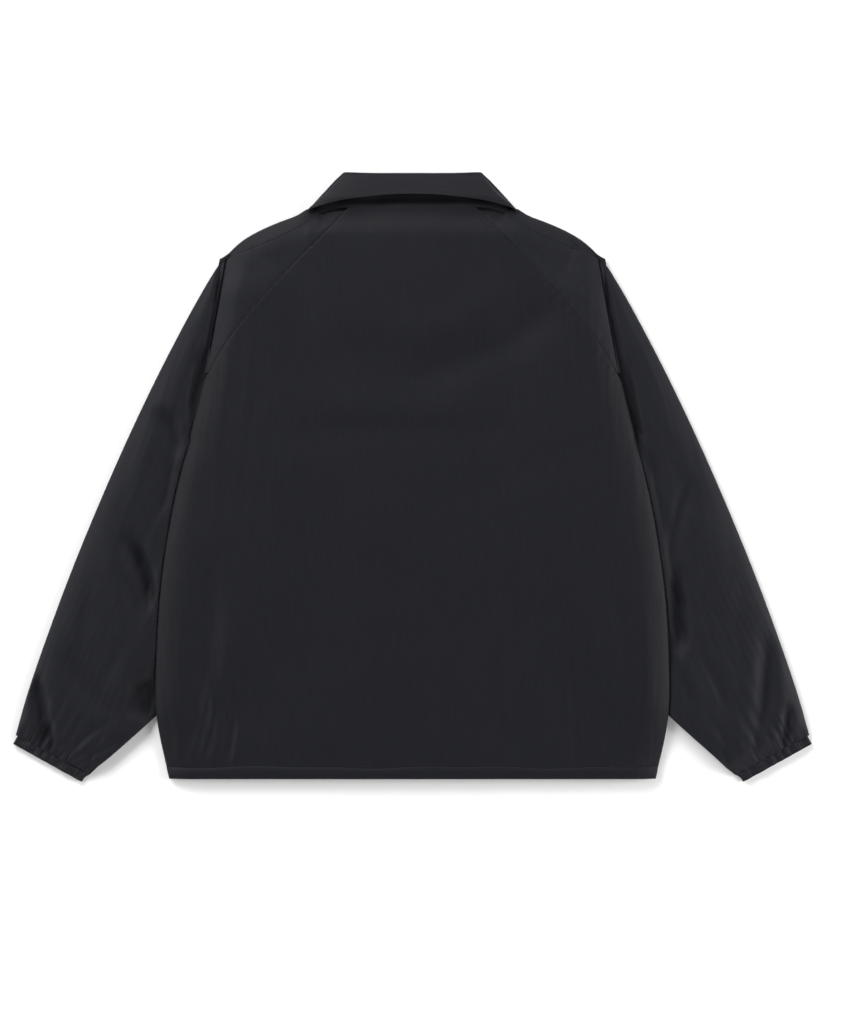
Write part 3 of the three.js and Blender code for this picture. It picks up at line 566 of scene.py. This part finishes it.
out[:, 1] -= is_fall * FALL_DROOP * down * (1 - corner) + corner * 6.0
out[:, 1] -= 0.8 * soft((NECK_Y + 5 - y) / 3) * soft((y - 312) / 4) * soft((70 - np.abs(x)) / 14) * (1 - is_fall)
out[:, 0] += np.sign(x) * corner * 5.5
set_points(collar, out)

# %% Fronts and their hems
FRONT_FOLDS = [
    Fold(40, 190, 6, 150, 90, 14, 1.1, 1.0),
    Fold(30, 120, 4, 120, 40, 12, 0.8, 1.0),
    Fold(60, -20, 8, 190, -60, 16, 0.9, 1.0),
    Fold(90, -140, 5, 110, -300, 9, 0.9, 1.0),
    Fold(140, -190, 4, 160, -340, 8, 1.2, 0.9),
    Fold(176, -240, 3, 190, -342, 6, 1.0, 1.0),
    Fold(208, -268, 2, 218, -343, 5, 1.2, 1.0),
    Fold(236, -282, 2, 248, -342, 5, 1.0, 1.0),
    Fold(262, -296, 1, 270, -340, 4, 0.9, 1.0),
    Fold(52, -250, 2, 56, -343, 6, 0.8, 1.0),
    Fold(80, 60, 3, 86, -80, 12, 0.6, 1.0),
]


def settle_front(co):
    """Raises shallow hollows in the side that lies on the floor, and waves the hem seam."""
    x, y = co[:, 0], co[:, 1]
    folds = fold_heights(np.abs(x) + 7 * np.sign(x), y, FRONT_FOLDS) + 0.06 * crinkle(x, y, 0, 2.2)
    out = co.copy()
    out[:, 2] += np.maximum(folds, 0) * soft((np.abs(x) - 24) / 16) * soft((230 - np.abs(x)) / 40)
    out[:, 1] += (0.8 * np.sin(x / 31) + 0.5 * np.sin(x / 14)) * np.exp(-(((y - HEM_Y) / 7) ** 2))
    return out


fronts = []
for side in ("left", "right"):
    front = panel_from("front_" + side, "front_panel_" + side, 3)
    hem = panel_from("hem_front_" + side, "front_hem_" + side, 3)
    for piece in (front, hem):
        set_points(piece, settle_front(get_points(piece)))
    fronts += [front, hem]

# %% Cuffs
cuffs = []
for side in ("left", "right"):
    cuff = panel_from("cuff_" + side, "elastic_cuff_" + side, 2)
    co = get_points(cuff)
    x, y, z = co.T
    along, away = cuff_place(x, y)
    up = soft((z - 3.4) / 1.2)
    out = co.copy()
    uneven = 0.8 * np.sin(along / 2.1 + 1.8 * np.sin(along / 9.5)) + 0.5 * np.sin(away / 2.3 + along / 5)
    out[:, 2] += up * ((6.3 - z) * 0.75 + uneven)
    shut = 0.5 * soft(1 + (away + 0.5) / 3)
    wider = 5.2 * soft(1 - along / 22) - 1.2 * soft((along - 78) / 12)
    wider -= 4.5 * soft(1 - along / 14) * soft(-away / 9)
    out[:, 0] -= np.sign(x) * (shut * 0.47 + wider * 0.88)
    out[:, 1] += shut * 0.88 - wider * 0.47
    set_points(cuff, out)
    cuffs.append(cuff)

# %% [markdown]
# Materials are node trees. One small class wraps a socket so that shader maths reads as maths, and one
# method adds any other node.

# %% Shader helper
class Wire:
    """A shader socket, or a number, that can be added and multiplied."""

    def __init__(self, tree, socket):
        self.tree = tree
        self.socket = socket

    def node(self, kind, settings=None, output=0, **values):
        made = self.tree.nodes.new("ShaderNode" + kind)
        for key, value in (settings or {}).items():
            setattr(made, key, value)
        for key, value in values.items():
            socket = made.inputs[int(key[1:])] if key[0] == "i" and key[1:].isdigit() else made.inputs[key]
            if isinstance(value, Wire):
                self.tree.links.new(value.socket, socket)
            else:
                socket.default_value = value
        return Wire(self.tree, made.outputs[output])

    def math(self, operation, *values):
        pairs = {"i%d" % i: v for i, v in enumerate(values)}
        return self.node("Math", {"operation": operation}, **pairs)

    def __add__(self, other):
        return self.math("ADD", self, other)

    def __sub__(self, other):
        return self.math("SUBTRACT", self, other)

    def __rsub__(self, other):
        return self.math("SUBTRACT", other, self)

    def __mul__(self, other):
        return self.math("MULTIPLY", self, other)

    __radd__ = __add__
    __rmul__ = __mul__


def new_material(name):
    material = bpy.data.materials.new(name)
    material.use_nodes = True
    tree = material.node_tree
    tree.nodes.clear()
    shader = tree.nodes.new("ShaderNodeBsdfPrincipled")
    out = tree.nodes.new("ShaderNodeOutputMaterial")
    tree.links.new(shader.outputs[0], out.inputs[0])
    return material, shader, Wire(tree, None)


# %% [markdown]
# The nylon is almost black with a cool cast. It is matt, but where it turns away it picks up a soft sheen.
# Fine creases that run down each panel are too small to model, so they are bump: stretched noise, turned to
# lie along the sleeve on the sleeves. A plain weave of thin threads lies under them. Deep in the sleeves'
# creases the colour carries painted shade: the attribute of those creases mixes in a darker, duller copy with
# almost no sheen, which stands in for the shadow in the fold.

# %% Nylon
def nylon(name, angle, painted_light=1.0):
    material, shader, wire = new_material(name)
    out = material.node_tree.get_output_node("ALL")
    place = wire.node("TexCoord", output=3)

    def stretched(scale_x, scale_y, detail, turn=angle):
        scaled = wire.node("Mapping", Vector=place, Rotation=(0, 0, -turn), Scale=(1, 1, 1))
        squeezed = wire.node("VectorMath", {"operation": "MULTIPLY"}, i0=scaled, i1=(scale_x, scale_y, 40))
        return wire.node("TexNoise", Vector=squeezed, Scale=1.0, Detail=detail, Roughness=0.6)

    streaks = stretched(330, 42, 3.0)
    creases = stretched(120, 17, 2.0)
    patches = stretched(9, 6, 2.0)
    grain = stretched(900, 900, 1.0)
    aside = wire.math("ABSOLUTE", wire.node("SeparateXYZ", Vector=place))
    strong = wire.node("MapRange", Value=aside, i1=0.05, i2=0.24, i3=0.2, i4=1.0)
    height = (streaks * 0.4 + creases * 0.6 * (patches * 1.4 - 0.2)) * strong + grain * 0.02
    bump = wire.node("Bump", Strength=0.5, Distance=0.0008, Height=height)
    tone = wire.node("ValToRGB", Fac=streaks * 0.75 + patches * 0.25)
    ramp = tone.socket.node.color_ramp
    ramp.elements[0].position = 0.3
    # the base colour is multiplied by the painted light factor: the sleeves' copies are painted lighter than the
    # back
    ramp.elements[0].color = (0.0043 * painted_light, 0.0046 * painted_light, 0.0068 * painted_light, 1)
    ramp.elements[1].position = 0.72
    ramp.elements[1].color = (0.0064 * painted_light, 0.0067 * painted_light, 0.0095 * painted_light, 1)
    tree = material.node_tree
    tree.links.new(tone.socket, shader.inputs["Base Color"])
    tree.links.new(bump.socket, shader.inputs["Normal"])
    rough = grain * 0.1 + 0.56
    tree.links.new(rough.socket, shader.inputs["Roughness"])
    shader.inputs["Specular IOR Level"].default_value = 0.16
    shader.inputs["Sheen Weight"].default_value = 0.02
    shader.inputs["Sheen Roughness"].default_value = 0.45
    # painted shade: a darker copy of the nylon with almost no sheen, mixed in deep in the sleeves' creases
    painted_shade_bsdf = tree.nodes.new("ShaderNodeBsdfPrincipled")
    painted_shade_bsdf.inputs["Base Color"].default_value = (0.0040, 0.0042, 0.0055, 1)
    painted_shade_bsdf.inputs["Roughness"].default_value = 0.9
    painted_shade_bsdf.inputs["Specular IOR Level"].default_value = 0.02
    painted_crease_shade = wire.node("Attribute", {"attribute_name": "painted_crease_shade"}, output=2)
    mix = tree.nodes.new("ShaderNodeMixShader")
    tree.links.new((painted_crease_shade * creases * 1.25).socket, mix.inputs[0])
    tree.links.new(shader.outputs[0], mix.inputs[1])
    tree.links.new(painted_shade_bsdf.outputs[0], mix.inputs[2])
    tree.links.new(mix.outputs[0], out.inputs[0])
    return material


body_nylon = nylon("crinkled_nylon", 0.0)
# the sleeves are painted lighter than the back, the right one most: painted light from the side lamps, on what is
# one nylon
left_nylon = nylon("crinkled_nylon_left_sleeve", math.radians(-23), 1.15)
right_nylon = nylon("crinkled_nylon_right_sleeve", math.radians(23), 1.25)
collar_nylon = nylon("crinkled_nylon_collar", math.radians(90))


def dress(piece, material):
    piece.data.materials.clear()
    piece.data.materials.append(material)


for piece in [back, hem_back, *fronts]:
    dress(piece, body_nylon)
dress(sleeves[0], left_nylon)
dress(sleeves[1], right_nylon)
dress(collar, collar_nylon)
dress(cuffs[0], left_nylon)
dress(cuffs[1], right_nylon)

# %% [markdown]
# The snaps are pressed metal caps with black enamel. One is modelled as a disc, with a raised rim round a
# shallow dish, and copied to the place of each CAD cap.

# %% Snap caps
def snap_cap(name, middle, radius, thick):
    bpy.ops.object.select_all(action="DESELECT")
    bpy.ops.mesh.primitive_cylinder_add(vertices=48, radius=radius * MM, depth=thick * MM)
    cap = bpy.context.active_object
    cap.name = name
    bpy.ops.object.mode_set(mode="EDIT")
    shape = bmesh.from_edit_mesh(cap.data)
    shape.faces.ensure_lookup_table()
    for face in shape.faces:
        face.select_set(face.normal.z < -0.9)
    bmesh.update_edit_mesh(cap.data)
    bpy.ops.mesh.inset(thickness=1.1 * MM)
    bpy.ops.mesh.inset(thickness=0.5 * MM, depth=-0.35 * MM)
    bpy.ops.mesh.inset(thickness=2.6 * MM, depth=-0.1 * MM)
    bpy.ops.mesh.inset(thickness=1.6 * MM, depth=0.12 * MM)
    bpy.ops.object.mode_set(mode="OBJECT")
    round_rim = cap.modifiers.new("round_rim", "BEVEL")
    round_rim.width = 0.22 * MM
    round_rim.segments = 3
    round_rim.limit_method = "ANGLE"
    apply_modifier(cap, round_rim)
    bpy.ops.object.shade_smooth_by_angle(angle=math.radians(40))
    cap.location = Vector(middle) * MM
    bpy.ops.object.transform_apply(location=True, rotation=False, scale=False)
    return cap


enamel, shader, _ = new_material("snap_enamel")
shader.inputs["Base Color"].default_value = (0.012, 0.012, 0.014, 1)
shader.inputs["Roughness"].default_value = 0.3
for name in sorted(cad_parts):
    if name.startswith("snap_"):
        co = points_of(name)
        low, high = co.min(axis=0), co.max(axis=0)
        cap = snap_cap(name + "_cap", (low + high) / 2, (high[0] - low[0]) / 2, high[2] - low[2])
        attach(cap, "root")
        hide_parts(name)
        dress(cap, enamel)

# %% [markdown]
# Stitches are modelled, because they are seen close up: each is a short thread that dips into the cloth at
# both ends. A row of them is laid along a path and dropped on to the panel under it, from above or below.

# %% Stitch rows
THREAD = 0.32  # half a thread's width
STITCH = 2.5
PITCH = 3.3
SIDES = 5
STATIONS = ((-0.5, 0), (-0.32, 0.85), (0, 1), (0.32, 0.85), (0.5, 0))


def surface_under(panel, up):
    """A function that gives the place of a panel's outer side over or under a point."""
    tree = bmesh_tree(panel)
    start, way = (0.2, -1) if up else (-0.2, 1)

    def drop(x, y):
        spot, normal, _, _ = tree.ray_cast(Vector((x * MM, y * MM, start)), Vector((0, 0, way)))
        return spot

    return drop


def bmesh_tree(panel):
    mesh = panel.data
    return BVHTree.FromPolygons([v.co for v in mesh.vertices], [p.vertices for p in mesh.polygons])


def stitch_row(shape, path, drop, up):
    """Adds stitches along a path of (x, y) places, in millimetres."""
    path = np.array(path, float)
    lengths = np.r_[0, np.cumsum(np.linalg.norm(np.diff(path, axis=0), axis=1))]
    for middle in np.arange(PITCH, lengths[-1] - PITCH / 2, PITCH):
        ends = [
            [np.interp(middle + side * STITCH / 2, lengths, path[:, k]) for k in (0, 1)] for side in (-1, 1)
        ]
        spots = [drop(*end) for end in ends]
        if None in spots:
            continue
        along = (spots[1] - spots[0]).normalized()
        out = Vector((0, 0, 1 if up else -1))
        across = along.cross(out).normalized()
        centre = (spots[0] + spots[1]) / 2 + out * THREAD * 0.35 * MM
        rings = []
        for place, size in STATIONS:
            base = centre + along * place * STITCH * MM - out * (1 - size) * THREAD * MM
            if size == 0:
                rings.append([shape.verts.new(base)])
                continue
            turns = [2 * math.pi * k / SIDES for k in range(SIDES)]
            rings.append([
                shape.verts.new(base + (across * math.cos(a) + out * math.sin(a) * 0.8) * THREAD * size * MM)
                for a in turns
            ])
        for first, second in zip(rings, rings[1:]):
            for k in range(SIDES):
                n = (k + 1) % SIDES
                corners = [first[k % len(first)], first[n % len(first)], second[n % len(second)], second[k % len(second)]]
                shape.faces.new(list(dict.fromkeys(corners)))


def stitched_piece(name, rows):
    """rows holds (path, panel, whether the row is seen from above)."""
    shape = bmesh.new()
    for path, panel, up in rows:
        stitch_row(shape, path, surface_under(panel, up), up)
    bmesh.ops.recalc_face_normals(shape, faces=shape.faces)
    mesh = bpy.data.meshes.new(name)
    shape.to_mesh(mesh)
    shape.free()
    mesh.shade_smooth()
    piece = bpy.data.objects.new(name, mesh)
    bpy.context.collection.objects.link(piece)
    piece.data.materials.append(thread)
    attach(piece, "root")
    print(name, len(mesh.polygons), "faces")
    return piece


thread, shader, _ = new_material("sewing_thread")
shader.inputs["Base Color"].default_value = (0.0085, 0.009, 0.0115, 1)
shader.inputs["Roughness"].default_value = 0.55
shader.inputs["Specular IOR Level"].default_value = 0.25

across_hem = np.arange(-284, 285, 6.0)
hem_wave = 1.1 * np.sin(across_hem / 37) + 0.7 * np.sin(across_hem / 16 + 1)
hem_row = np.c_[across_hem, HEM_Y + 1.9 + hem_wave]
under_row = np.c_[across_hem, HEM_Y + 1.9 + 0.8 * np.sin(across_hem / 31) + 0.5 * np.sin(across_hem / 14)]
left_hem = under_row[across_hem < 12]
right_hem = under_row[across_hem > 18]
stitched_piece("hem_stitching", [
    (hem_row, back, True),
    (left_hem, fronts[0], False),
    (right_hem, fronts[2], False),
])

placket_rows = [np.c_[np.full(60, x), np.linspace(-340, 232, 60)] for x in (11.5, -12.5)]
stitched_piece("placket_stitching", [(row, fronts[0], False) for row in placket_rows])

fall = get_points(collar)[is_fall > 0.5]
places = np.arange(-108, 109, 6.0)
edge = [fall[np.abs(fall[:, 0] - place) < 3.5, 1].min() + 4 for place in places]
stitched_piece("collar_stitching", [(np.c_[places, edge], collar, True)])

cuff_rows = []
inner, outer = CUFF_SEAM
for cuff, hand in ((cuffs[0], -1), (cuffs[1], 1)):
    for down in (3.2, 8.2):
        shift = np.array((0.471, -0.882)) * down
        path = np.linspace(inner + shift, outer + shift, 30)[1:-1] * (hand, 1)
        cuff_rows += [(path, cuff, True), (path, cuff, False)]
stitched_piece("cuff_stitching", cuff_rows)

# %% Light and floor
def area_light(name, location, size, power, target=(0, 0, 0)):
    data = bpy.data.lights.new(name, "AREA")
    data.shape = "RECTANGLE"
    data.size, data.size_y = size
    data.energy = power
    light = bpy.data.objects.new(name, data)
    light.location = location
    light.rotation_euler = (Vector(target) - Vector(location)).to_track_quat("-Z", "Y").to_euler()
    bpy.context.collection.objects.link(light)


area_light("key", (-1.7, 1.9, 1.9), (1.5, 1.3), 85)
area_light("left", (-2.7, 0.0, 0.9), (1.0, 2.6), 48)
area_light("right", (2.7, 0.0, 0.9), (1.0, 2.6), 95)
area_light("top", (0.2, 2.8, 1.0), (2.6, 1.0), 45)
area_light("bottom", (0.2, -1.9, 0.68), (2.2, 0.7), 21)

bpy.ops.object.select_all(action="DESELECT")
bpy.ops.mesh.primitive_plane_add(size=12, location=(0, 0, -0.0004))
floor = bpy.context.active_object
floor.name = "floor"
paper, shader, _ = new_material("pale_floor")
shader.inputs["Base Color"].default_value = (0.86, 0.86, 0.86, 1)
shader.inputs["Roughness"].default_value = 0.9
floor.data.materials.append(paper)

world = bpy.data.worlds.new("studio")
bpy.context.scene.world = world
world.use_nodes = True
world.node_tree.nodes["Background"].inputs[0].default_value = (1, 1, 1, 1)
world.node_tree.nodes["Background"].inputs[1].default_value = 0.18
bpy.context.scene.view_settings.view_transform = "Standard"
